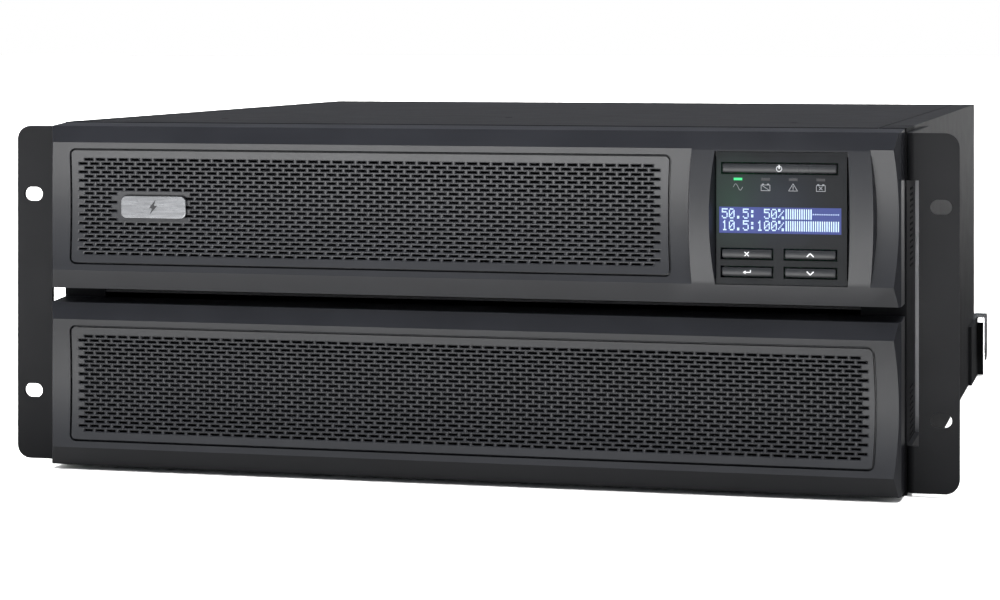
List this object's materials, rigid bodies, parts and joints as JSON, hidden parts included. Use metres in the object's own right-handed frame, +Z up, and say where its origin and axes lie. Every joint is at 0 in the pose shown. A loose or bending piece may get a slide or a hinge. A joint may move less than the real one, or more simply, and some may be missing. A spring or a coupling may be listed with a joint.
{
  "type": "rack uninterruptible power supply",
  "caption": "Rack power supply with two concave grille bezels, a display with keys, slotted rack ears, a front battery drawer and rear fans and outlets.",
  "frame": {"origin": "middle of the width, on the front face of the rack ears, at the floor the unit stands on", "axes": "+X to the right of somebody facing the front, +Y from front to back, +Z up"},
  "size_m": [0.4826, 0.51, 0.176],
  "materials": {
    "dark_paint": "fine textured black powder coat",
    "black_screws": "black oxide",
    "bare_steel": "galvanised sheet",
    "zinc_plate": "bright zinc plate",
    "bezel_plastic": "satin moulded dark grey",
    "grille_plastic": "satin moulded dark grey",
    "satin_chrome": "satin",
    "filter_foam": "open-cell foam",
    "panel_plastic": "smooth dark",
    "key_plastic": "smooth dark",
    "blue_screen": "back-lit blue",
    "green_light": "lit green",
    "dark_light": "unlit",
    "circuit_board": "solder mask",
    "battery_case": "moulded grey",
    "brass_contacts": "plain",
    "strap_webbing": "woven",
    "connector_plastic": "moulded grey",
    "cable_rubber": "smooth",
    "core_steel": "varnished laminations",
    "coil_tape": "wound tape",
    "sink_aluminium": "extruded",
    "package_plastic": "moulded",
    "fan_plastic": "moulded",
    "socket_plastic": "moulded",
    "reset_plastic": "moulded"
  },
  "bodies": {
    "chassis": {"chassis_base": "dark_paint", "top_cover": "dark_paint", "cover_screws": "black_screws", "mid_deck": "dark_paint", "front_panel": "dark_paint", "rack_ear_left": "dark_paint", "rack_ear_right": "dark_paint", "ear_screws": "black_screws", "rear_brackets": "dark_paint", "rear_clips": "zinc_plate", "display_housing": "panel_plastic", "display_panel": "panel_plastic", "lcd_module": "blue_screen", "display_board": "circuit_board", "status_light_online": "green_light", "status_lights": "dark_light", "battery_connector_fixed": "connector_plastic", "wiring_harness": "cable_rubber", "main_board": "circuit_board", "board_standoffs": "zinc_plate", "transformer_core": "core_steel", "transformer_coil": "coil_tape", "heat_sinks": "sink_aluminium", "power_transistors": "package_plastic", "capacitors": "package_plastic", "rear_panel": "dark_paint", "fan_frames": "fan_plastic", "fan_guards": "bare_steel", "outlet_banks": "socket_plastic", "outlet_large": "socket_plastic", "power_inlet": "socket_plastic", "inlet_blades": "brass_contacts", "breaker_body": "socket_plastic", "data_ports": "zinc_plate", "external_battery_connector": "connector_plastic", "accessory_slot_cover": "dark_paint", "panel_screws": "bare_steel"},
    "upper_bezel": {"upper_bezel": "bezel_plastic", "upper_grille": "grille_plastic", "badge": "satin_chrome", "upper_filter": "filter_foam"},
    "battery_drawer": {"battery_tray": "bare_steel", "battery_door": "dark_paint", "battery_blocks": "battery_case", "battery_terminals": "brass_contacts", "battery_strap": "strap_webbing", "battery_connector_drawer": "connector_plastic"},
    "lower_bezel": {"lower_bezel": "bezel_plastic", "lower_grille": "grille_plastic", "lower_filter": "filter_foam"},
    "door_screw_left": {"door_screw_left": "bare_steel"},
    "door_screw_right": {"door_screw_right": "bare_steel"},
    "power_button": {"power_button": "key_plastic"},
    "esc_button": {"esc_button": "key_plastic"},
    "enter_button": {"enter_button": "key_plastic"},
    "up_button": {"up_button": "key_plastic"},
    "down_button": {"down_button": "key_plastic"},
    "fan_rotor_left": {"fan_rotor_left": "fan_plastic"},
    "fan_rotor_right": {"fan_rotor_right": "fan_plastic"},
    "breaker_reset": {"breaker_reset": "reset_plastic"}
  },
  "joints": [
    {"name": "upper_bezel_pull", "type": "slide", "parent": "chassis", "child": "upper_bezel", "axis": [0, -1, 0], "range_m": [0, 0.06]},
    {"name": "battery_drawer_slide", "type": "slide", "parent": "chassis", "child": "battery_drawer", "axis": [0, -1, 0], "range_m": [0, 0.33]},
    {"name": "lower_bezel_pull", "type": "slide", "parent": "battery_drawer", "child": "lower_bezel", "axis": [0, -1, 0], "range_m": [0, 0.06]},
    {"name": "door_screw_left_turn", "type": "hinge", "parent": "battery_drawer", "child": "door_screw_left", "pos_m": [-0.203, 0, 0.066], "axis": [0, 1, 0], "continuous": true},
    {"name": "door_screw_right_turn", "type": "hinge", "parent": "battery_drawer", "child": "door_screw_right", "pos_m": [0.203, 0, 0.066], "axis": [0, 1, 0], "continuous": true},
    {"name": "power_button_press", "type": "slide", "parent": "chassis", "child": "power_button", "axis": [0, 1, 0], "range_m": [0, 0.0008]},
    {"name": "esc_button_press", "type": "slide", "parent": "chassis", "child": "esc_button", "axis": [0, 1, 0], "range_m": [0, 0.0008]},
    {"name": "enter_button_press", "type": "slide", "parent": "chassis", "child": "enter_button", "axis": [0, 1, 0], "range_m": [0, 0.0008]},
    {"name": "up_button_press", "type": "slide", "parent": "chassis", "child": "up_button", "axis": [0, 1, 0], "range_m": [0, 0.0008]},
    {"name": "down_button_press", "type": "slide", "parent": "chassis", "child": "down_button", "axis": [0, 1, 0], "range_m": [0, 0.0008]},
    {"name": "fan_left_spin", "type": "hinge", "parent": "chassis", "child": "fan_rotor_left", "pos_m": [-0.168, 0.465, 0.132], "axis": [0, 1, 0], "continuous": true},
    {"name": "fan_right_spin", "type": "hinge", "parent": "chassis", "child": "fan_rotor_right", "pos_m": [-0.082, 0.465, 0.132], "axis": [0, 1, 0], "continuous": true},
    {"name": "breaker_reset_press", "type": "slide", "parent": "chassis", "child": "breaker_reset", "axis": [0, -1, 0], "range_m": [0, 0.003]}
  ]
}
